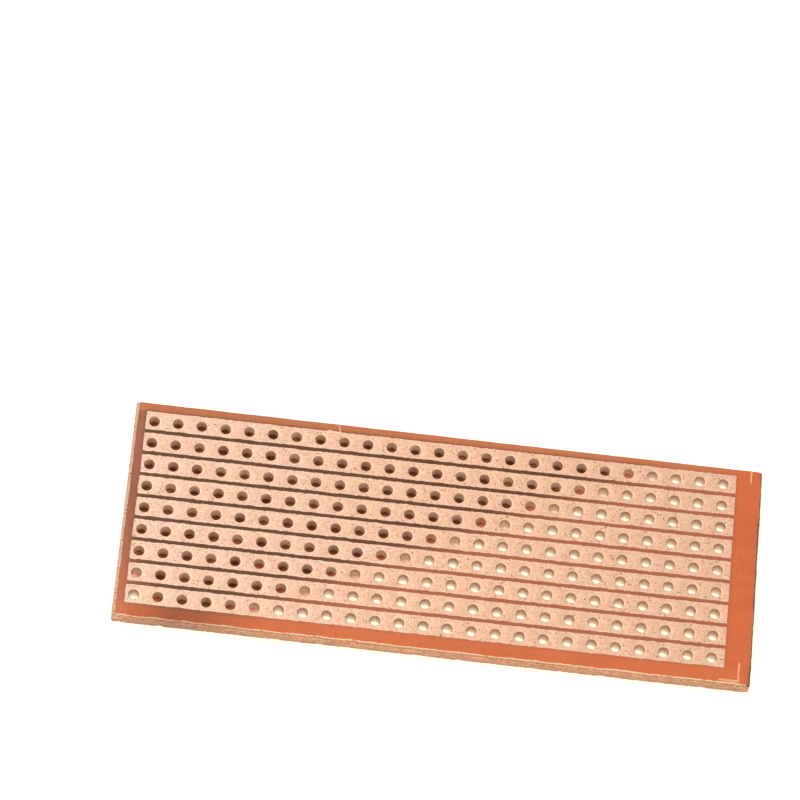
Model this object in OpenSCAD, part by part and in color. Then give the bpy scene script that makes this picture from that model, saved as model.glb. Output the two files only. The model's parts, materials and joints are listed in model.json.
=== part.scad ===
// Strip-type prototype board: a phenolic paper laminate with a grid of punched lead holes
// and, on its upper face, parallel strips of copper foil that join the holes row by row.
// Millimetres, +Z up, origin at the centre of the underside, strips along X.

/* [Hole grid] */
// Distance between neighbouring holes, and between neighbouring strips
pitch = 2.54; // [2:0.01:5.08]
// Number of holes along each strip
holes = 25; // [4:1:40]
// Diameter of each punched lead hole
hole_d = 1.1; // [0.8:0.05:1.3]

/* [Board] */
// Overall thickness of the board, copper included
board_t = 1.6; // [0.8:0.1:3.2]
// From the first column of holes to the left edge
border_left = 2.1; // [1.6:0.05:12]
// From the last column of holes to the right edge
border_right = 4.2; // [3.6:0.05:12]
// From the hindmost row of holes to the back edge
border_back = 2.05; // [1.6:0.05:12]
// From the foremost row of holes to the front edge
border_front = 2.75; // [1.6:0.05:12]
// Width of the bevel that the cut leaves along the upper left edge
bevel_left = 0.35; // [0.05:0.05:0.4]
// Width of the bevel that the cut leaves along the upper front edge
bevel_front = 0.2; // [0.05:0.05:0.3]
// Degrees by which the board's cuts lie clockwise of the hole grid
cut_skew = 0.23; // [0:0.01:0.5]

/* [Copper strips] */
// Thickness of the copper foil
foil_t = 0.035; // [0.018:0.001:0.105]
// Bare laminate between neighbouring strips
strip_gap = 0.42; // [0.2:0.02:0.7]
// Copper to the left of the first hole's centre
strip_left = 0.92; // [0.8:0.02:1.2]
// Copper to the right of the last hole's centre
strip_right = 1.37; // [0.8:0.02:1.8]
// Radius of the strips' etched corners
strip_corner_r = 0.12; // [0.04:0.02:0.3]
// How far the punch landed toward the front of the strips' centre lines
punch_offset = 0.08; // [-0.14:0.02:0.14]

/* [Punched rims] */
// Width of the copper that the punch draws down round each hole
rim_w = 0.06; // [0.02:0.01:0.1]
// Depth of that drawn rim
rim_drop = 0.016; // [0.004:0.004:0.016]

/* [Registration marks] */
// Length of each arm of a mark
mark_arm = 2.2; // [1.4:0.1:3]
// Width of a mark's lines
mark_line = 0.22; // [0.1:0.02:0.3]
// From the strips' right ends to a mark's outer corner
mark_out_x = 1.67; // [0.8:0.01:1.7]
// From the outermost strips' long edges to a mark's outer corner
mark_out_y = 1.5; // [0.6:0.05:1.6]

/* [Hidden] */
$fn = 48;

// The board has one node for each of its strips, numbered from the back
strips = 9;
laminate_t = board_t - foil_t;
board_l = border_left + (holes - 1) * pitch + border_right;
board_w = border_back + (strips - 1) * pitch + border_front;
left_x = -board_l / 2;
back_y = board_w / 2;
strip_w = pitch - strip_gap;
strip_l = strip_left + (holes - 1) * pitch + strip_right;
strips_right_x = hole_x(holes - 1) + strip_right;
// Cutting shapes run this far past the faces that they cut
past = 1;

laminate_colour = "#cf7044";
copper_colour = "#f0bb98";

// Centre of the column of holes numbered i from the left, from 0
function hole_x(i) = left_x + border_left + i * pitch;

// Centre of the row of holes numbered row from the back, from 0
function hole_y(row) = back_y - border_back - row * pitch;

// Centre line of a strip: the holes lie off it by the punch's offset
function strip_y(row) = hole_y(row) + punch_offset;

// One row of whatever is given, once at each hole
module at_holes(row) {
  for (i = [0 : holes - 1])
    translate([hole_x(i), hole_y(row)]) children();
}

// Turns what is drawn square with the board's cuts onto the hole grid
module as_cut() {
  rotate(-cut_skew) children();
}

// The flat upper face of the board, inside its bevelled edges
module flat_top() {
  as_cut() translate([left_x + bevel_left, -back_y + bevel_front])
    square([board_l - bevel_left, board_w - bevel_front]);
}

// Rectangle from the origin with rounded corners, drawn with true arcs
module rounded_rectangle(length, width, r) {
  translate([r, 0]) square([length - 2 * r, width]);
  translate([0, r]) square([length, width - 2 * r]);
  for (x = [r, length - r], y = [r, width - r])
    translate([x, y]) circle(r);
}

// A 45 degree wedge along X that bevels an edge lying on the X axis
module bevel_cut(length, size) {
  rotate([90, 0, 90]) linear_extrude(length)
    polygon([[-past, -past - size], [size + past, past], [-past, past]]);
}

// The laminate: a sheared plate, all lead holes punched, bevelled where the cut shows
module phenolic_board() {
  color(laminate_colour) difference() {
    linear_extrude(laminate_t) difference() {
      as_cut() translate([left_x, -back_y]) square([board_l, board_w]);
      for (row = [0 : strips - 1]) at_holes(row) circle(d = hole_d);
    }
    as_cut() translate([left_x - past, -back_y, laminate_t])
      bevel_cut(board_l + 2 * past, bevel_front);
    as_cut() translate([left_x, back_y + past, laminate_t]) rotate(-90)
      bevel_cut(board_w + 2 * past, bevel_left);
  }
}

// One foil strip lying on the laminate, its holes drawn down at the rim by the punch
module copper_strip(row) {
  color(copper_colour) difference() {
    translate([0, 0, laminate_t]) linear_extrude(foil_t) difference() {
      translate([hole_x(0) - strip_left, strip_y(row) - strip_w / 2])
        rounded_rectangle(strip_l, strip_w, strip_corner_r);
      at_holes(row) circle(d = hole_d);
    }
    at_holes(row) drawn_rim();
  }
}

// The cone that takes the foil's upper edge off round a hole, run on as far above the foil
module drawn_rim() {
  translate([0, 0, board_t - rim_drop])
    cylinder(h = 2 * rim_drop, d1 = hole_d, d2 = hole_d + 4 * rim_w);
}

// An L-shaped foil line with its outer corner at the origin and its arms along -X and +Y
module mark_outline() {
  translate([-mark_arm, 0]) square([mark_arm, mark_line]);
  translate([-mark_line, 0]) square([mark_line, mark_arm]);
}

// The mark off the front right corner of the strips, kept to the board's flat face
module copper_mark_front() {
  color(copper_colour) translate([0, 0, laminate_t]) linear_extrude(foil_t)
    intersection() {
      flat_top();
      translate([strips_right_x + mark_out_x, strip_y(strips - 1) - strip_w / 2 - mark_out_y])
        mark_outline();
    }
}

// Its mirror image off the back right corner, where the board's cut leaves one short line
module copper_mark_back() {
  color(copper_colour) translate([0, 0, laminate_t]) linear_extrude(foil_t)
    intersection() {
      flat_top();
      translate([strips_right_x + mark_out_x, strip_y(0) + strip_w / 2 + mark_out_y])
        mirror([0, 1]) mark_outline();
    }
}

phenolic_board();
copper_strip(0);  // copper_strip_1
copper_strip(1);  // copper_strip_2
copper_strip(2);  // copper_strip_3
copper_strip(3);  // copper_strip_4
copper_strip(4);  // copper_strip_5
copper_strip(5);  // copper_strip_6
copper_strip(6);  // copper_strip_7
copper_strip(7);  // copper_strip_8
copper_strip(8);  // copper_strip_9
copper_mark_front();
copper_mark_back();
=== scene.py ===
"""A strip-type prototype board on a pale floor: copper foil strips on a phenolic paper laminate."""
import json
import math

import bpy
from mathutils import Matrix, Vector, noise
from mathutils.geometry import delaunay_2d_cdt


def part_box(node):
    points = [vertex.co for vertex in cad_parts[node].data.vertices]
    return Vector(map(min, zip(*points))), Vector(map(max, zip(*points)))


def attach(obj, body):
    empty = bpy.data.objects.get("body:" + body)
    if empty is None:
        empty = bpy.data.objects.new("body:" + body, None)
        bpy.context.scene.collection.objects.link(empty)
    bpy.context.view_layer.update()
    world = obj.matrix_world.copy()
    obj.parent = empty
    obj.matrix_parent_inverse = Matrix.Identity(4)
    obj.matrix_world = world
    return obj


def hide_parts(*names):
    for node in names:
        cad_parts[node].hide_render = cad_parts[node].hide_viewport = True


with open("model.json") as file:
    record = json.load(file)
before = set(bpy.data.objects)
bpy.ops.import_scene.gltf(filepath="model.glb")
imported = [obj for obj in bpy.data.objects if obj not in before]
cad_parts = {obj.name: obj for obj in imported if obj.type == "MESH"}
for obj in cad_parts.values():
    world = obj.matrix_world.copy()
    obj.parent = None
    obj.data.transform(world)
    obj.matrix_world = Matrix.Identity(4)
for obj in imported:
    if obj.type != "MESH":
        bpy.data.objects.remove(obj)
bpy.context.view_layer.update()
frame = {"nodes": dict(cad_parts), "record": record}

# Everything below is in millimetres, and becomes metres where a mesh is made
MM = 0.001


def box_mm(node):
    """Lowest and highest corner of a solid, in millimetres."""
    low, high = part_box(node)
    return low / MM, high / MM


# Sizes read from the frame
BOARD_LOW, BOARD_HIGH = box_mm("phenolic_board")
LAMINATE_TOP = BOARD_HIGH.z
STRIP_NODES = sorted(n for n in frame["nodes"] if n.startswith("copper_strip_"))
STRIPS = len(STRIP_NODES)
MOUNTS = {m["name"]: m for m in frame["record"]["mounts"]}
FIRST_HOLE = Vector(MOUNTS["lead_hole_back_left"]["pos_m"]) / MM
LAST_HOLE = Vector(MOUNTS["lead_hole_front_right"]["pos_m"]) / MM
HOLE_R = MOUNTS["lead_hole_back_left"]["dims"]["r_mm"]
PITCH = (FIRST_HOLE.y - LAST_HOLE.y) / (STRIPS - 1)
HOLES = round((LAST_HOLE.x - FIRST_HOLE.x) / PITCH) + 1
STRIP_LOW, STRIP_HIGH = box_mm(STRIP_NODES[0])
STRIP_W = STRIP_HIGH.y - STRIP_LOW.y
STRIP_Y = (STRIP_LOW.y + STRIP_HIGH.y) / 2
STRIPS_FRONT_Y = box_mm(STRIP_NODES[-1])[0].y
FOIL_TOP = STRIP_HIGH.z


def wobble(s, seed, size, length):
    """Smooth random offset of about plus or minus size that changes over a length."""
    return size * noise.noise(Vector((s / length, seed * 3.7, seed * 1.3)))


# Meshes

# The triangulation's way of filling only what lies inside the outline, and the distance within
# which two points count as one
INSIDE_ONLY = 1
SAME_POINT = 1e-6
# Sides that meet at more than this have a sharp edge
SHARP_ANGLE = math.radians(35)


def plate(name, outer, holes, groups):
    """Closed plate from loops of rings, the upper ring first.

    outer is one loop, counterclockwise from above, and holes holds one loop for each hole.
    groups gives the material index of the top, rim, edge, wall and bottom faces.
    """
    loops = [outer, *holes]
    points, starts = [], []
    for rings in loops:
        starts.append(len(points))
        for ring in rings:
            points.extend(ring)
    flat, flat_slots = flat_faces(loops, points, starts, groups)
    sides, side_slots = side_faces(loops, starts, groups)
    return finish_mesh(name, points, flat + sides, flat_slots + side_slots, len(flat))


def flat_faces(loops, points, starts, groups):
    """Triangles of a plate's top and bottom, the same net on both."""
    flat, edges, owner = [], [], []
    for number, rings in enumerate(loops):
        base, size = len(flat), len(rings[0])
        flat.extend(Vector((p[0], p[1])) for p in rings[0])
        owner.extend((number, k) for k in range(size))
        edges.extend((base + k, base + (k + 1) % size) for k in range(size))
    made = delaunay_2d_cdt(flat, edges, [], INSIDE_ONLY, SAME_POINT)
    source = [ids[0] for ids in made[3]]
    faces, slots = [], []
    for triangle in made[2]:
        corners = [owner[source[v]] for v in triangle]
        # A triangle between points of one and the same hole would close it
        if corners[0][0] and len({number for number, _ in corners}) == 1:
            continue
        above = [starts[n] + k for n, k in corners]
        below = [starts[n] + (len(loops[n]) - 1) * len(loops[n][0]) + k for n, k in corners]
        a, b, c = (Vector(points[v][:2]) for v in above)
        if (b - a).cross(c - a) < 0:
            above.reverse()
            below.reverse()
        faces += [above, below[::-1]]
        slots += [groups["top"], groups["bottom"]]
    return faces, slots


def side_faces(loops, starts, groups):
    """Quads between the rings, round a plate's outside and down its holes."""
    faces, slots = [], []
    for number, rings in enumerate(loops):
        size = len(rings[0])
        for level in range(len(rings) - 1):
            upper = starts[number] + level * size
            lower = upper + size
            for k in range(size):
                n = (k + 1) % size
                quad = [upper + k, lower + k, lower + n, upper + n]
                faces.append(quad if number == 0 else quad[::-1])
                if number:
                    slots.append(groups["wall"])
                else:
                    slots.append(groups["rim"] if level == 0 else groups["edge"])
    return faces, slots


def finish_mesh(name, points, faces, slots, flat_count):
    """Makes the object in metres: its first faces flat, and the rest smooth apart from sharp edges."""
    mesh = bpy.data.meshes.new(name)
    mesh.from_pydata([Vector(p) * MM for p in points], [], faces)
    mesh.polygons.foreach_set("material_index", slots)
    mesh.polygons.foreach_set("use_smooth", [k >= flat_count for k in range(len(faces))])
    mesh.set_sharp_from_angle(angle=SHARP_ANGLE)
    mesh.validate()
    obj = bpy.data.objects.new(name, mesh)
    bpy.context.collection.objects.link(obj)
    return obj


def inset_ring(ring, distance, z):
    """A closed ring moved inward along its own normals, at height z."""
    moved = []
    for k, p in enumerate(ring):
        before, after = ring[k - 1], ring[(k + 1) % len(ring)]
        along = Vector((after[0] - before[0], after[1] - before[1])).normalized()
        moved.append((p[0] - along.y * distance, p[1] + along.x * distance, z))
    return moved


def circle_ring(centre, radius, z, count, seed, size):
    """A ring round a hole, uneven by up to size."""
    ring = []
    for k in range(count):
        a = 2 * math.pi * k / count
        uneven = size * noise.noise(Vector((2 * math.cos(a), 2 * math.sin(a), seed)))
        r = radius + uneven
        ring.append((centre[0] + r * math.cos(a), centre[1] + r * math.sin(a), z))
    return ring


def hole_centre(row, column):
    """Centre of a lead hole: rows from the back, columns from the left."""
    return FIRST_HOLE.x + column * PITCH, FIRST_HOLE.y - row * PITCH


# The laminate

# The board's corners as cut, a little out of true, counterclockwise from the front left
CORNERS = [
    Vector((BOARD_LOW.x + 0.025, BOARD_LOW.y + 0.265)),
    Vector((BOARD_HIGH.x, BOARD_LOW.y)),
    Vector((BOARD_HIGH.x - 0.13, BOARD_HIGH.y - 0.255)),
    Vector((BOARD_LOW.x + 0.025, BOARD_HIGH.y - 0.015)),
]
# Width of the torn bevel on the front, right, back and left edges, and its depth on all four
BEVELS = [0.28, 0.17, 0.05, 0.38]
BEVEL_DEPTH = 0.11
# How uneven that bevel's inner border is
BEVEL_WEAR = [0.8, 1.5, 1.0, 0.25]
# How ragged the cut is on the same four edges
EDGE_WEAR = [1.0, 1.1, 0.45, 0.4]
# How much further the corners are worn away
CORNER_WEAR = 0.06
# From point to point along a cut, and from a corner to the first point
EDGE_STEP = 0.11
CORNER_ROOM = 0.42
# Rings down the edge below the bevel, and the thickness of one layer of paper
EDGE_LEVELS = 13
LAYER = 0.16
# The punched walls: how far below the top each ring lies, and how much wider than the hole it is
WALL_RINGS = [(0, 0.004), (0.25, 0), (0.75, -0.01), (1.2, 0), (LAMINATE_TOP, 0.035)]
# How uneven the walls are, and the points round each of their rings
WALL_WEAR = 0.026
WALL_POINTS = 32


def board_outline():
    """Points round the board, each with the two sides that it belongs to and the distance walked."""
    outline, walked = [], 0.0
    for side in range(4):
        start, end = CORNERS[side], CORNERS[(side + 1) % 4]
        length = (end - start).length
        outline.append((start, (side - 1) % 4, side, walked))
        count = int((length - 2 * CORNER_ROOM) / EDGE_STEP)
        for k in range(count + 1):
            t = CORNER_ROOM + (length - 2 * CORNER_ROOM) * k / count
            outline.append((start.lerp(end, t / length), side, side, walked + t))
        walked += length
    return outline


def inward(side):
    """Unit vector into the board from one of its sides."""
    along = (CORNERS[(side + 1) % 4] - CORNERS[side]).normalized()
    return Vector((-along.y, along.x))


def edge_depth(side, s, z):
    """How far the torn cut lies inside the outline at a distance s along it and a height z.

    A broad wave, the layers of paper and fine fibres add up, the last two more towards the foot.
    """
    layer = math.floor(z / LAYER)
    lower = 1 - z / LAMINATE_TOP
    broad = abs(wobble(s, 1 + side, 0.05, 2.6))
    ply = (0.05 + 0.08 * lower) * max(0.0, noise.noise(Vector((s / 1.5, layer * 5.3, side * 2.1))))
    fibre = (0.03 + 0.06 * lower) * noise.noise(Vector((s / 0.24, z / 0.09, side * 4.4)))
    return max(0.0, broad + ply + fibre) * EDGE_WEAR[side]


def bevel_width(side, s):
    """Ragged width of the pale bevel along the top of the cut."""
    ragged = 0.45 * noise.noise(Vector((s / 2.2, side * 7.7, 0.3)))
    fine = 0.25 * noise.noise(Vector((s / 0.3, side * 3.1, 4.3)))
    return BEVELS[side] * max(0.3, 0.85 + (ragged + fine) * BEVEL_WEAR[side])


def board_ring(z, extra):
    """One ring of the cut edge at height z, moved in by what extra gives for a side and place."""
    ring = []
    for point, side_a, side_b, s in board_outline():
        if side_a == side_b:
            depth = edge_depth(side_a, s, z) + extra(side_a, s)
            moved = point + inward(side_a) * depth
        else:
            depth_a = edge_depth(side_a, s, z) + extra(side_a, s) + CORNER_WEAR
            depth_b = edge_depth(side_b, s, z) + extra(side_b, s) + CORNER_WEAR
            moved = point + inward(side_a) * depth_a + inward(side_b) * depth_b
        ring.append((moved.x, moved.y, z))
    return ring


def board_rings():
    """The bevel's inner border, and below it the rings of the cut down to the foot."""
    rings = [board_ring(LAMINATE_TOP, bevel_width)]
    for level in range(EDGE_LEVELS):
        z = (LAMINATE_TOP - BEVEL_DEPTH) * (1 - level / (EDGE_LEVELS - 1))
        rings.append(board_ring(z, lambda side, s: 0.0))
    return rings


def wall_rings(row, column):
    """The rings down one punched hole, which is wider at the foot."""
    centre = hole_centre(row, column)
    seed = row * 31.7 + column * 5.9
    rings = []
    for depth, wider in WALL_RINGS:
        z = LAMINATE_TOP - depth
        rings.append(circle_ring(centre, HOLE_R + wider, z, WALL_POINTS, seed + 2 * depth, WALL_WEAR))
    return rings


def make_board(materials):
    """The laminate with its punched holes and torn edges."""
    holes = [wall_rings(row, column) for row in range(STRIPS) for column in range(HOLES)]
    groups = {"top": 0, "rim": 1, "edge": 2, "wall": 3, "bottom": 4}
    board = plate("laminate", board_rings(), holes, groups)
    for material in materials:
        board.data.materials.append(material)
    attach(board, "root")
    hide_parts("phenolic_board")


# The copper

# From point to point along a strip's long edges and along a mark's lines, and points up a strip's end
STRIP_STEP = 0.09
MARK_STEP = 0.08
END_POINTS = 20
# Radius of the strips' corners, steps of their arcs and raggedness of the end, left and right
END_R = (0.14, 0.05)
END_ARC_STEPS = (6, 3)
END_WEAR = (0.8, 0.4)
# The foil's upper edge is this far in and this far down, and its foot stands out by this
FOIL_EDGE_IN = 0.016
FOIL_EDGE_DOWN = 0.012
FOIL_FOOT_OUT = 0.01
# The punched rim: how far out from the hole each ring lies, and how far below the foil's top
RIM_RINGS = [(0.09, 0.0), (0.06, 0.002), (0.035, 0.009), (0.014, 0.021), (0.0, 0.035)]
# How uneven a rim is at the hole, how much more so for each millimetre outward, and its points
RIM_WEAR = 0.032
RIM_WEAR_OUTWARD = 0.1
RIM_POINTS = 40
# How uneven a mark's lines are, and over what length
MARK_WEAR = 0.03
MARK_WAVE = 0.35
# The back mark's foil stops this far short of its solid, where the ragged back edge begins
MARK_STOPS_SHORT = 0.06
# The foil has one material all over
FOIL_GROUPS = {"top": 0, "rim": 0, "edge": 0, "wall": 0, "bottom": 0}

# Places of the flaws that the photograph shows on the back strip: a whisker of foil, bent to the
# left, and a stretch of the back edge that stands out
HAIR_FOOT_X = -11.75
HAIR_TIP_X = -11.97
HAIR_TIP_Y = 12.4
HAIR_W = 0.12
# The whisker's bend lies this far behind its foot, and there its two sides lie this far to the left
HAIR_BEND_Y = 0.25
HAIR_BEND_RIGHT_SIDE = 0.06
HAIR_BEND_LEFT_SIDE = 0.05
STEP_FROM_X = -13.3
STEP_TO_X = -11.85
STEP_H = 0.13
# The stretch slopes off over this length at its left end, and to a part of its height at its right
STEP_LEFT_SLOPE = 0.4
STEP_RIGHT_SLOPE = 0.8
STEP_RIGHT_PART = 0.35


def edge_noise(s, seed):
    """Etched edge: outward offset from the straight line."""
    broad = wobble(s, seed, 0.035, 1.9)
    middle = wobble(s, seed + 0.4, 0.05, 0.6)
    fine = wobble(s, seed + 0.7, 0.055, 0.24)
    return broad + middle + fine


def foil_step(row, x):
    """How far the back strip's back edge stands out along one stretch, which slopes off at its ends."""
    if row == 0 and STEP_FROM_X < x < STEP_TO_X:
        left = (x - STEP_FROM_X) / STEP_LEFT_SLOPE
        right = STEP_RIGHT_PART + (STEP_TO_X - x) / STEP_RIGHT_SLOPE
        return STEP_H * min(1.0, left, right)
    return 0.0


def hair(y):
    """The thin whisker of foil that the etching left between the back strip and the board's edge."""
    half = HAIR_W / 2
    return [
        (HAIR_FOOT_X + half, y),
        (HAIR_FOOT_X + half - HAIR_BEND_RIGHT_SIDE, y + HAIR_BEND_Y),
        (HAIR_TIP_X + half, HAIR_TIP_Y),
        (HAIR_TIP_X - half, HAIR_TIP_Y),
        (HAIR_FOOT_X - half - HAIR_BEND_LEFT_SIDE, y + HAIR_BEND_Y),
        (HAIR_FOOT_X - half, y),
    ]


def arc(centre, radius, start, end, steps):
    """Points inside an arc, its ends left out."""
    angles = [math.radians(start + (end - start) * k / steps) for k in range(1, steps)]
    return [(centre[0] + radius * math.cos(a), centre[1] + radius * math.sin(a)) for a in angles]


def strip_outline(row, low, high):
    """Counterclockwise outline of one strip, with wavy edges and rounded corners."""
    left_r, right_r = END_R
    left_steps, right_steps = END_ARC_STEPS
    left_wear, right_wear = END_WEAR
    seed = 10 + row * 2.3
    points = []
    count = int((high.x - low.x) / STRIP_STEP)
    span = high.x - low.x - left_r - right_r
    for k in range(count + 1):
        x = low.x + left_r + span * k / count
        points.append((x, low.y - edge_noise(x, seed)))
    points += arc((high.x - right_r, low.y + right_r), right_r, -90, 0, right_steps)
    for k in range(1, END_POINTS):
        y = low.y + right_r + (STRIP_W - 2 * right_r) * k / END_POINTS
        points.append((high.x + right_wear * edge_noise(y, seed + 5), y))
    points += arc((high.x - right_r, high.y - right_r), right_r, 0, 90, right_steps)
    for k in range(count + 1):
        x = high.x - right_r - span * k / count
        y = high.y + edge_noise(x, seed + 1) + foil_step(row, x)
        if row == 0 and abs(x - HAIR_FOOT_X) < HAIR_W:
            continue
        if row == 0 and points[-1][0] > HAIR_FOOT_X > x:
            points += hair(y)
        points.append((x, y))
    points += arc((low.x + left_r, high.y - left_r), left_r, 90, 180, left_steps)
    for k in range(1, END_POINTS):
        y = high.y - left_r - (STRIP_W - 2 * left_r) * k / END_POINTS
        points.append((low.x - left_wear * edge_noise(y, seed + 6), y))
    points += arc((low.x + left_r, low.y + left_r), left_r, 180, 270, left_steps)
    return points


def foil_loops(outline):
    """Rings of a foil island: a softened upper edge and a foot that the etching leaves wider."""
    return [
        inset_ring(outline, FOIL_EDGE_IN, FOIL_TOP),
        inset_ring(outline, 0.0, FOIL_TOP - FOIL_EDGE_DOWN),
        inset_ring(outline, -FOIL_FOOT_OUT, LAMINATE_TOP),
    ]


def rim_rings(row, column):
    """The rings of foil round one hole, drawn down by the punch."""
    centre = hole_centre(row, column)
    seed = row * 17.1 + column * 3.3
    rings = []
    for out, drop in RIM_RINGS:
        wear = RIM_WEAR + RIM_WEAR_OUTWARD * out
        rings.append(circle_ring(centre, HOLE_R + out, FOIL_TOP - drop, RIM_POINTS, seed + 3 * drop, wear))
    return rings


def make_strip(row, node, material):
    """One copper strip with the rims of its punched holes."""
    low, high = box_mm(node)
    outer = foil_loops(strip_outline(row, low, high))
    holes = [rim_rings(row, column) for column in range(HOLES)]
    strip = plate("foil_strip_%d" % (row + 1), outer, holes, FOIL_GROUPS)
    strip.data.materials.append(material)
    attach(strip, "root")
    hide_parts(node)


def uneven_line(corners, seed):
    """A closed outline through the given corners, resampled and made slightly uneven."""
    points = []
    for k, start in enumerate(corners):
        start, end = Vector(start), Vector(corners[(k + 1) % len(corners)])
        count = max(2, int((end - start).length / MARK_STEP))
        across = Vector(((end - start).y, -(end - start).x)).normalized()
        for n in range(count):
            p = start.lerp(end, n / count)
            shift = 0.0 if n == 0 else wobble(p.x + p.y * 1.7, seed + k, MARK_WEAR, MARK_WAVE)
            points.append(tuple(p + across * shift))
    return points


def make_mark(name, node, corners, seed, material):
    """A registration mark's foil line."""
    mark = plate(name, foil_loops(uneven_line(corners, seed)), [], FOIL_GROUPS)
    mark.data.materials.append(material)
    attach(mark, "root")
    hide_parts(node)


def make_marks(material):
    """The L off the front right corner, and the stub of its twin at the back edge."""
    low, high = box_mm("copper_mark_front")
    back_low, back_high = box_mm("copper_mark_back")
    line = back_high.x - back_low.x
    corners = [
        (low.x, low.y), (high.x, low.y), (high.x, high.y),
        (high.x - line, high.y), (high.x - line, low.y + line), (low.x, low.y + line),
    ]
    make_mark("mark_front", "copper_mark_front", corners, 41, material)
    cut_y = back_high.y - MARK_STOPS_SHORT
    corners = [
        (back_low.x, back_low.y), (back_high.x, back_low.y), (back_high.x, cut_y), (back_low.x, cut_y),
    ]
    make_mark("mark_back", "copper_mark_back", corners, 47, material)


# Materials

# Lines on the floor at which the painted shade, a dark patch under the board's left back half, ends: each
# has its degrees from the strips and its distance from the board's middle
SHADE_LINES = [(27.3, 0.0), (-64.1, 31.6)]
# Distances outside those lines between which the painted light and shade change
RESIN_LIGHTENS = (-3.0, 3.2)
WALL_LIGHTENS = (-1.8, 1.0)
CUT_SHADE = (4.0, -2.0)
FLOOR_DARKENS = (1.0, -1.8)
GLOW_REDDENS = (1.0, -0.6)
GLOW_ENDS = (-0.2, -1.8)
# How deep inside the board's outline the painted shade patch begins and is full
SHADE_PATCH_INSIDE = (1.0, 1.4)

# Places along and across the board between which a tone, a painted light or a painted shade changes
LIGHT_CHANGES_X = (-36.0, 8.0)
SPECKS_GROW_X = (-30.0, 20.0)
LEFT_END_SHADE_X = (-34.0, -18.0)
BACK_BORDER_X = (33.0, 26.0)
BACK_BORDER_Y = (STRIP_HIGH.y - 0.2, STRIP_HIGH.y + 0.3)
FRONT_BORDER_Y = (-10.4, -11.2)
RIGHT_EDGE_SHADE_X = (BOARD_HIGH.x - 0.75, BOARD_HIGH.x - 0.25)
LIT_LEFT_BEVEL_X = (BOARD_LOW.x + 0.9, BOARD_LOW.x + 0.7)
SHADED_RIGHT_BEVEL_X = (BOARD_HIGH.x - 0.5, BOARD_HIGH.x - 0.35)

# Heights between which a tone, a painted light or a painted shade changes
CUT_FOOT_Z = (1.0, 0.3)
LIT_WALL_Z = (LAMINATE_TOP, 0.3)
WALL_MIDDLE_Z = (1.3, 0.8)
WALL_FOOT_Z = (0.6, 0.1)
CHIPPED_LINE_Z = (LAMINATE_TOP - 0.065, LAMINATE_TOP - 0.045)

# Distances from a hole's centre, or from a strip's centre line, between which the copper's painted
# highlight and dull rim change
HOLE_HIGHLIGHT = (HOLE_R + 0.24, HOLE_R + 0.12)
HOLE_RIM = (HOLE_R + 0.055, HOLE_R + 0.01)
STRIP_EDGE_HIGHLIGHT = (STRIP_W / 2 - 0.2, STRIP_W / 2 - 0.06)


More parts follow.
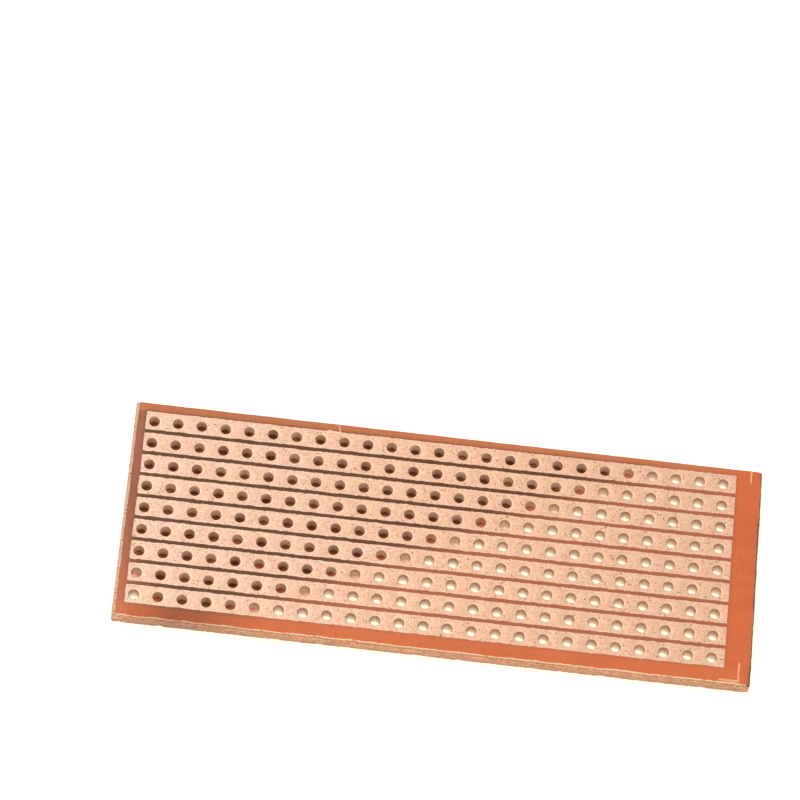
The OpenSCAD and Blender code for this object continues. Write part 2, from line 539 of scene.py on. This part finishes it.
class Shader:
    """A material's node tree, with short calls to add nodes to it."""

    def __init__(self, name):
        self.material = bpy.data.materials.new(name)
        self.material.use_nodes = True
        self.tree = self.material.node_tree
        self.surface = self.tree.nodes["Principled BSDF"]
        coordinates = self.node("ShaderNodeTexCoord")
        # Object coordinates in millimetres
        self.place = self.vector_math("SCALE", {0: coordinates.outputs["Object"], "Scale": 1 / MM})
        self.x, self.y, self.z = self.node("ShaderNodeSeparateXYZ", {0: self.place}).outputs

    def node(self, kind, inputs=None, **settings):
        """A new node with its settings made and its inputs filled."""
        made = self.tree.nodes.new(kind)
        for key, value in settings.items():
            setattr(made, key, value)
        for key, value in (inputs or {}).items():
            self.put(made.inputs[key], value)
        return made

    def put(self, socket, value):
        """Links another node's output to a socket, or sets the socket's own value."""
        if isinstance(value, bpy.types.NodeSocket):
            self.tree.links.new(value, socket)
        else:
            socket.default_value = value

    def math(self, operation, a, b=0.0):
        """A sum, product or the like of one or two numbers."""
        return self.node("ShaderNodeMath", {0: a, 1: b}, operation=operation).outputs[0]

    def vector_math(self, operation, inputs):
        """A sum, product or scaling of vectors."""
        return self.node("ShaderNodeVectorMath", inputs, operation=operation).outputs[0]

    def stretched(self, x, y, z):
        """The place with each axis scaled, for grain that runs one way."""
        return self.vector_math("MULTIPLY", {0: self.place, 1: (x, y, z)})

    def noise(self, scale, detail, roughness=0.5, vector=None, distortion=0.0):
        """Cloudy noise, mostly between 0.3 and 0.7."""
        inputs = {"Vector": vector or self.place, "Scale": scale, "Detail": detail,
                  "Roughness": roughness, "Distortion": distortion}
        return self.node("ShaderNodeTexNoise", inputs).outputs["Fac"]

    def ramp(self, value, low, high, to_low=0.0, to_high=1.0, smooth=True):
        """Value mapped from low..high to to_low..to_high, clamped."""
        inputs = {"Value": value, "From Min": low, "From Max": high, "To Min": to_low, "To Max": to_high}
        kind = "SMOOTHSTEP" if smooth else "LINEAR"
        return self.node("ShaderNodeMapRange", inputs, interpolation_type=kind).outputs[0]

    def mix(self, factor, a, b, blend="MIX"):
        """Colour a turned into b by a factor, or blended with it."""
        made = self.node("ShaderNodeMix", data_type="RGBA", blend_type=blend, clamp_factor=True)
        self.put(made.inputs[0], factor)
        self.put(made.inputs[6], a)
        self.put(made.inputs[7], b)
        return made.outputs[2]

    def tint(self, colour, other, value, low, high, most=1.0, blend="MIX"):
        """A colour mixed with another, by up to most while a value goes from low to high."""
        return self.mix(self.ramp(value, low, high, 0.0, most), colour, other, blend)

    def spots(self, scale, least, most, vector=None):
        """Small round spots of mixed size: 1 inside a spot, 0 outside."""
        cells = self.node("ShaderNodeTexVoronoi", {"Vector": vector or self.place, "Scale": scale})
        pick = self.node("ShaderNodeSeparateColor", {0: cells.outputs["Color"]}).outputs[0]
        radius = self.math("MAXIMUM", self.ramp(pick, 0.0, 1.0, least, most, smooth=False), 0.001)
        inner = self.math("MULTIPLY", radius, 0.55)
        return self.ramp(cells.outputs["Distance"], radius, inner)

    def bump(self, height, distance, strength, normal=None):
        """A bumpy normal, on top of another if one is given."""
        inputs = {"Height": height, "Distance": distance * MM, "Strength": strength}
        if normal:
            inputs["Normal"] = normal
        return self.node("ShaderNodeBump", inputs).outputs[0]

    def finish(self, **sockets):
        """Fills the surface's sockets, named with _ for each space."""
        for key, value in sockets.items():
            self.put(self.surface.inputs[key.replace("_", " ")], value)
        return self.material


def rgb(red, green, blue):
    """Linear colour from 0 to 255 display values."""
    def linear(value):
        value /= 255
        return value / 12.92 if value <= 0.04045 else ((value + 0.055) / 1.055) ** 2.4
    return (linear(red), linear(green), linear(blue), 1.0)


def wrapped(s, value, centre):
    """Distance from the nearest of the lines that repeat at the pitch, signed."""
    shifted = s.math("SUBTRACT", value, centre)
    inputs = {0: shifted, 1: PITCH / 2, 2: -PITCH / 2}
    return s.node("ShaderNodeMath", inputs, operation="WRAP").outputs[0]


def diagonal(s, a, b):
    """Distance of two points that lie a and b apart along the two axes."""
    squares = s.math("ADD", s.math("MULTIPLY", a, a), s.math("MULTIPLY", b, b))
    return s.math("SQRT", squares)


def hole_distance(s):
    """Distance from the nearest lead hole's centre."""
    x = wrapped(s, s.x, FIRST_HOLE.x)
    y = wrapped(s, s.y, FIRST_HOLE.y)
    return diagonal(s, x, y)


def depth_inside(s, low_x, low_y, high_x, high_y):
    """How far a point lies inside a rectangle seen from above."""
    sides = [s.math("SUBTRACT", s.x, low_x), s.math("SUBTRACT", high_x, s.x),
             s.math("SUBTRACT", s.y, low_y), s.math("SUBTRACT", high_y, s.y)]
    depth = sides[0]
    for side in sides[1:]:
        depth = s.math("MINIMUM", depth, side)
    return depth


def copper_distance(s):
    """Distance of a point on the laminate from the nearest strip."""
    left = s.math("SUBTRACT", STRIP_LOW.x, s.x)
    right = s.math("SUBTRACT", s.x, STRIP_HIGH.x)
    outside_x = s.math("MAXIMUM", s.math("MAXIMUM", left, right), 0.0)
    across = s.math("ABSOLUTE", wrapped(s, s.y, STRIP_Y))
    in_gap = s.math("SUBTRACT", across, STRIP_W / 2)
    back = s.math("SUBTRACT", s.y, STRIP_HIGH.y)
    front = s.math("SUBTRACT", STRIPS_FRONT_Y, s.y)
    block = s.math("MAXIMUM", back, front)
    outside_y = s.math("MAXIMUM", s.math("MAXIMUM", in_gap, block), 0.0)
    return diagonal(s, outside_x, outside_y)


def outside_shade(s):
    """How far a point lies outside the painted shade patch of the floor under the board, negative inside
    it.
    """
    outside = None
    for slant, offset in SHADE_LINES:
        turned = math.radians(slant)
        along = s.math("MULTIPLY", s.x, math.sin(turned))
        across = s.math("MULTIPLY", s.y, math.cos(turned))
        beyond = s.math("SUBTRACT", s.math("SUBTRACT", along, across), offset)
        outside = s.math("MAXIMUM", outside, beyond) if outside else beyond
    return outside


def light_along_board(s, left, right):
    """A colour that changes slowly along the board: painted light, for how the light falls from end to
    end.
    """
    return s.tint(left, right, s.x, *LIGHT_CHANGES_X)


def copper_tones(s, grain):
    """Clean copper: straw-coloured and rosy patches, and a mottle and a grain of brown and pale."""
    # Painted light: the copper's tone changes along the board
    colour = light_along_board(s, rgb(225, 188, 166), rgb(238, 188, 157))
    patches = s.noise(0.55, 3.0, 0.55)
    colour = s.tint(colour, rgb(233, 196, 153), patches, 0.5, 0.7, 0.55)
    colour = s.tint(colour, rgb(245, 184, 165), patches, 0.5, 0.32, 0.5)
    mottle = s.noise(2.8, 3.0, 0.7)
    colour = s.tint(colour, rgb(217, 162, 126), mottle, 0.5, 0.66, 0.4)
    colour = s.tint(colour, rgb(245, 211, 188), mottle, 0.5, 0.36, 0.35)
    colour = s.tint(colour, rgb(204, 154, 113), grain, 0.5, 0.66, 0.5)
    return s.tint(colour, rgb(245, 217, 193), grain, 0.5, 0.34, 0.5)


def tarnish(s):
    """Where the specks of tarnish are: ragged, crowded in places, and more of them to the right."""
    jitter = s.node("ShaderNodeTexNoise", {"Vector": s.place, "Scale": 5.0, "Detail": 2.0})
    shift = s.vector_math("SCALE", {0: jitter.outputs["Color"], "Scale": 0.22})
    ragged = s.vector_math("ADD", {0: s.place, 1: shift})
    crowd = s.ramp(s.noise(0.6, 2.0), 0.4, 0.6, 0.4, 1.0)
    crowd = s.math("MULTIPLY", crowd, s.ramp(s.x, *SPECKS_GROW_X, 0.7, 1.0))
    stains = s.math("MULTIPLY", s.spots(1.9, -0.7, 0.32, ragged), 0.75)
    specks = s.spots(3.2, -0.22, 0.38, ragged)
    dust = s.math("MULTIPLY", s.spots(6.5, -0.25, 0.46, ragged), 0.7)
    marks = s.math("MAXIMUM", s.math("MAXIMUM", specks, dust), stains)
    return s.math("MULTIPLY", marks, crowd)


def strip_highlights_and_rims(s, colour):
    """Painted highlights round the holes and along the strips' edges, and copper dull on the punched rims.
    """
    hole = hole_distance(s)
    ring = s.ramp(hole, *HOLE_HIGHLIGHT, 0.0, 0.3)
    across = s.math("ABSOLUTE", wrapped(s, s.y, STRIP_Y))
    edge = s.ramp(across, *STRIP_EDGE_HIGHLIGHT, 0.0, 0.3)
    # Painted highlight: paler copper round the holes and along the strips' edges
    colour = s.mix(s.math("MAXIMUM", ring, edge), colour, rgb(245, 213, 189))
    return s.tint(colour, rgb(186, 138, 104), hole, *HOLE_RIM, 0.8)


def copper_material(name, punched):
    """Pale bare copper with grain and tarnish, of the punched strips or of the more orange marks."""
    s = Shader(name)
    grain = s.noise(6.5, 3.0, 0.75)
    marks = tarnish(s)
    colour = s.mix(marks, copper_tones(s, grain), rgb(146, 88, 54))
    if punched:
        colour = strip_highlights_and_rims(s, colour)
    else:
        colour = s.mix(0.7, colour, rgb(248, 170, 108))
    rough = s.math("ADD", s.ramp(grain, 0.3, 0.7, 0.42, 0.55), s.math("MULTIPLY", marks, 0.2))
    height = s.math("SUBTRACT", grain, s.math("MULTIPLY", marks, 0.5))
    return s.finish(Base_Color=colour, Roughness=rough, Metallic=0.9, Normal=s.bump(height, 0.003, 0.5))


def shaded_border_tones(s, colour, lit):
    """The upper face: painted shade, darker over the floor's dark patch, and a tone of its own on the
    narrow back border.
    """
    # Painted shade where the face lies over the floor's dark patch
    colour = s.mix(lit, rgb(151, 77, 40), colour)
    back = s.ramp(s.y, *BACK_BORDER_Y, 0.0, 0.95)
    back = s.math("MULTIPLY", back, s.ramp(s.x, *BACK_BORDER_X))
    return s.mix(back, colour, light_along_board(s, rgb(195, 115, 71), rgb(206, 122, 79)))


def paper_tones(s, colour, paper):
    """The paper that shows through the resin: clouds, bands across the board, streaks and pale spots."""
    clouds = s.noise(0.12, 3.0, 0.5, s.stretched(1.3, 0.5, 1))
    colour = s.tint(colour, rgb(206, 100, 56), clouds, 0.4, 0.65, 0.2)
    bands = s.noise(0.7, 3.0, 0.6, s.stretched(1, 0.12, 1))
    colour = s.tint(colour, rgb(222, 132, 78), bands, 0.52, 0.68, 0.16)
    colour = s.tint(colour, rgb(176, 84, 50), paper, 0.45, 0.8, 0.3)
    spots = s.math("MULTIPLY", s.spots(1.3, -0.9, 0.12), 0.35)
    return s.mix(spots, colour, rgb(236, 150, 100))


def gap_shade(s, colour, lit):
    """Painted shade on the laminate that the etching laid bare: darker close to the strips, and most
    between them.
    """
    near = s.ramp(copper_distance(s), 0.5, 0.0, 0.0, 0.36)
    block = depth_inside(s, STRIP_LOW.x, STRIPS_FRONT_Y, STRIP_HIGH.x, STRIP_HIGH.y)
    between = s.ramp(block, -0.1, 0.1, 0.0, 0.8)
    # The painted shade is darker still over the floor's dark patch
    shade = s.mix(lit, rgb(82, 56, 26), rgb(168, 98, 70))
    return s.mix(s.math("MAXIMUM", near, between), colour, shade)


def resin_material(name, upper):
    """Glossy orange-brown laminate face, with painted shade: darker at the left end and along the right
    edge.
    """
    s = Shader(name)
    paper = s.noise(2.6, 4.0, 0.65, s.stretched(1, 0.4, 1))
    # Painted shade: the face is darker toward its left end
    colour = s.tint(rgb(196, 102, 56), rgb(222, 111, 59), s.x, *LEFT_END_SHADE_X)
    colour = s.tint(colour, rgb(224, 120, 69), s.y, *FRONT_BORDER_Y, 0.5)
    if upper:
        lit = s.ramp(outside_shade(s), *RESIN_LIGHTENS)
        colour = shaded_border_tones(s, colour, lit)
    colour = paper_tones(s, colour, paper)
    if upper:
        colour = gap_shade(s, colour, lit)
    # Painted shade along the right edge, which turns away from the lamp
    colour = s.tint(colour, rgb(184, 116, 84), s.x, *RIGHT_EDGE_SHADE_X, 0.5)
    normal = s.bump(s.noise(0.35, 2.0), 0.008, 0.4)
    normal = s.bump(paper, 0.002, 0.4, normal)
    rough = s.ramp(paper, 0.3, 0.7, 0.28, 0.4)
    return s.finish(Base_Color=colour, Roughness=rough, Normal=normal, Specular_IOR_Level=0.3)


def fibre(s, pale, middle, dark, seed):
    """Torn paper in resin, in thin layers: its colour, its height and how frayed it is."""
    moved = s.vector_math("ADD", {0: s.stretched(0.7, 0.7, 7.0), 1: (seed, seed * 2, 0)})
    layers = s.noise(1.0, 4.0, 0.65, moved, 0.5)
    patches = s.noise(0.8, 3.0, 0.6)
    fray = s.noise(5.0, 3.0, 0.75, s.stretched(0.4, 0.4, 2.2))
    colour = s.tint(middle, pale, layers, 0.46, 0.54)
    colour = s.tint(colour, dark, patches, 0.45, 0.65, 0.25)
    colour = s.tint(colour, dark, fray, 0.5, 0.62, 0.9)
    colour = s.tint(colour, pale, fray, 0.46, 0.36, 0.7)
    height = s.math("ADD", layers, s.math("MULTIPLY", fray, 0.7))
    return colour, height, fray


def fibre_finish(s, colour, height, fray):
    """The dull, rough surface of torn paper."""
    rough = s.ramp(fray, 0.3, 0.7, 0.6, 0.85)
    normal = s.bump(height, 0.04, 0.8)
    return s.finish(Base_Color=colour, Roughness=rough, Normal=normal, Specular_IOR_Level=0.3)


def cut_edge_material():
    """The sheared cut: frayed layers, rosy and straw-coloured by turns, duller at the foot, with painted
    shade over the floor's dark patch.
    """
    s = Shader("cut_edge")
    colour, height, fray = fibre(s, rgb(242, 186, 144), rgb(198, 138, 104), rgb(130, 88, 66), 1.0)
    hue = s.noise(0.4, 3.0, 0.6)
    colour = s.tint(colour, rgb(238, 154, 126), hue, 0.5, 0.62, 0.35)
    colour = s.tint(colour, rgb(206, 160, 106), hue, 0.5, 0.38, 0.3)
    colour = s.tint(colour, rgb(190, 146, 116), s.z, *CUT_FOOT_Z, 0.5)
    # Painted shade where the cut stands over the floor's dark patch
    colour = s.tint(colour, rgb(216, 218, 228), outside_shade(s), *CUT_SHADE, blend="MULTIPLY")
    return fibre_finish(s, colour, height, fray)


def punched_wall_material():
    """Inside a punched hole: painted light, pale down to the floor where that is bright, and else painted
    shade, darker with depth.
    """
    s = Shader("punched_wall")
    colour, height, fray = fibre(s, rgb(252, 222, 194), rgb(236, 200, 168), rgb(200, 160, 128), 2.0)
    bright = s.mix(1.0, colour, rgb(220, 204, 186), "MULTIPLY")
    bright = s.tint(bright, rgb(255, 245, 234), s.z, *LIT_WALL_Z, 0.9)
    dim = s.tint(colour, rgb(255, 240, 222), s.z, *WALL_MIDDLE_Z, 0.6)
    dim = s.tint(dim, rgb(206, 150, 104), s.z, *WALL_FOOT_Z)
    mottle = s.noise(0.45, 1.0, 0.5, s.stretched(1, 1, 0.2))
    dim = s.tint(dim, rgb(218, 178, 156), mottle, 0.42, 0.64, 0.6, "MULTIPLY")
    # Painted light over the bright floor, painted shade over its dark patch
    colour = s.tint(dim, bright, outside_shade(s), *WALL_LIGHTENS)
    return fibre_finish(s, colour, height, fray)


def rim_material():
    """The upper edge of the cut: a broken bright line where the resin skin chipped, a painted light on the
    left bevel, and dull with painted shade on the right.
    """
    s = Shader("torn_rim")
    fray = s.noise(4.0, 3.0, 0.7)
    dull = s.tint(rgb(224, 162, 124), rgb(176, 120, 88), fray, 0.4, 0.6)
    chips = s.ramp(s.noise(0.8, 3.0, 0.6), 0.36, 0.46, 0.25, 1.0)
    line = s.math("MULTIPLY", s.ramp(s.z, *CHIPPED_LINE_Z), chips)
    colour = s.mix(line, dull, rgb(255, 214, 172))
    # Painted shade where the rim stands over the floor's dark patch
    colour = s.tint(colour, rgb(222, 206, 206), outside_shade(s), *CUT_SHADE, blend="MULTIPLY")
    # The left bevel is paler, a painted light where it faces the lamp, and all of one tone
    left = s.tint(rgb(238, 196, 164), rgb(186, 150, 122), fray, 0.42, 0.6)
    colour = s.tint(colour, left, s.x, *LIT_LEFT_BEVEL_X)
    # Painted shade on the right bevel, which faces away from the lamp
    right = s.tint(rgb(150, 92, 70), rgb(98, 58, 48), fray, 0.42, 0.58)
    colour = s.tint(colour, right, s.x, *SHADED_RIGHT_BEVEL_X)
    normal = s.bump(fray, 0.03, 0.6)
    return s.finish(Base_Color=colour, Roughness=0.6, Normal=normal, Specular_IOR_Level=0.3)


def floor_material():
    """Pale seamless paper that glows as if lit through from below, apart from a painted shade patch under
    the board.
    """
    s = Shader("pale_floor")
    colour = s.tint(rgb(196, 196, 195), rgb(204, 204, 203), s.noise(0.02, 3.0), 0.3, 0.7)
    outside = outside_shade(s)
    inside_board = depth_inside(s, BOARD_LOW.x, BOARD_LOW.y, BOARD_HIGH.x, BOARD_HIGH.y)
    under = s.ramp(inside_board, *SHADE_PATCH_INSIDE)
    # The painted shade patch is mottled, so no two dark holes look the same
    mottle = s.noise(0.5, 1.0)
    patch = s.tint(rgb(172, 108, 58), rgb(220, 156, 100), mottle, 0.38, 0.62)
    unlit = s.math("MULTIPLY", s.ramp(outside, *FLOOR_DARKENS), under)
    colour = s.mix(unlit, colour, patch)
    # Painted shade: the glow turns red before it ends
    dying = s.math("MULTIPLY", s.ramp(outside, *GLOW_REDDENS), under)
    glow = s.mix(dying, (0.86, 0.76, 0.60, 1.0), (0.42, 0.10, 0.04, 1.0))
    ember = s.tint((0.008, 0.004, 0.002, 1.0), (0.10, 0.025, 0.012, 1.0), mottle, 0.56, 0.72)
    ended = s.math("MULTIPLY", s.ramp(outside, *GLOW_ENDS), under)
    glow = s.mix(ended, glow, ember)
    return s.finish(Base_Color=colour, Roughness=0.8, Specular_IOR_Level=0.1, Emission_Color=glow,
                    Emission_Strength=1.0)


# The floor, lights and camera

# The floor lies this far below the board and reaches this far from its middle
FLOOR_Z = -0.02
FLOOR_REACH = 3000

# The photograph's view of the board: its middle looks at this point of the copper face
LOOK_AT = Vector((-5.77, 16.25, FOIL_TOP))
VIEW_AZIMUTH = -93.2
VIEW_ELEVATION = 63.26
VIEW_ROLL = 9.16
VIEW_DISTANCE = 588.5
FOCAL_PIXELS = 5504
PICTURE_PIXELS = 800
SENSOR_MM = 36


def direction(azimuth, elevation):
    """Unit vector towards a place seen from the board."""
    a, e = math.radians(azimuth), math.radians(elevation)
    return Vector((math.cos(e) * math.cos(a), math.cos(e) * math.sin(a), math.sin(e)))


def make_camera():
    """The camera at the photograph's viewing angle."""
    out = direction(VIEW_AZIMUTH, VIEW_ELEVATION)
    level = (-out).cross(Vector((0, 0, 1))).normalized()
    upright = level.cross(-out)
    roll = math.radians(VIEW_ROLL)
    right = level * math.cos(roll) + upright * math.sin(roll)
    up = upright * math.cos(roll) - level * math.sin(roll)
    data = bpy.data.cameras.new("camera")
    data.sensor_width = SENSOR_MM
    data.lens = FOCAL_PIXELS / PICTURE_PIXELS * SENSOR_MM
    data.clip_start = 0.01
    data.clip_end = 10
    camera = bpy.data.objects.new("camera", data)
    turned = Matrix((right, up, out)).transposed().to_4x4()
    camera.matrix_world = Matrix.Translation((LOOK_AT + out * VIEW_DISTANCE) * MM) @ turned
    bpy.context.collection.objects.link(camera)
    bpy.context.scene.camera = camera


def make_light(name, azimuth, elevation, distance, size, power):
    """A square soft box that looks at the board."""
    data = bpy.data.lights.new(name, "AREA")
    data.shape = "SQUARE"
    data.size = size * MM
    data.energy = power
    light = bpy.data.objects.new(name, data)
    out = direction(azimuth, elevation)
    light.location = out * distance * MM
    light.rotation_euler = out.to_track_quat("Z", "Y").to_euler()
    bpy.context.collection.objects.link(light)


def make_floor():
    """A pale floor just under the board."""
    reach = FLOOR_REACH
    corners = [
        (-reach, -reach, FLOOR_Z), (reach, -reach, FLOOR_Z),
        (reach, reach, FLOOR_Z), (-reach, reach, FLOOR_Z),
    ]
    floor = finish_mesh("floor", corners, [(0, 1, 2, 3)], [0], 1)
    floor.data.materials.append(floor_material())


def make_room():
    """A bright room round the board, and colours shown as they are."""
    world = bpy.data.worlds.new("room")
    bpy.context.scene.world = world
    world.use_nodes = True
    background = world.node_tree.nodes["Background"]
    background.inputs["Color"].default_value = (1.0, 0.99, 0.98, 1.0)
    background.inputs["Strength"].default_value = 0.6
    bpy.context.scene.view_settings.view_transform = "Standard"


copper = copper_material("bare_copper", punched=True)
mark_copper = copper_material("bare_copper_marks", punched=False)
make_board([
    resin_material("resin_face", upper=True),
    rim_material(),
    cut_edge_material(),
    punched_wall_material(),
    resin_material("resin_underside", upper=False),
])
for number, strip_node in enumerate(STRIP_NODES):
    make_strip(number, strip_node, copper)
make_marks(mark_copper)
make_floor()
make_light("key", azimuth=144, elevation=61, distance=1400, size=900, power=8.1)
make_light("front", azimuth=-60, elevation=40, distance=800, size=500, power=0.6)
make_room()
make_camera()
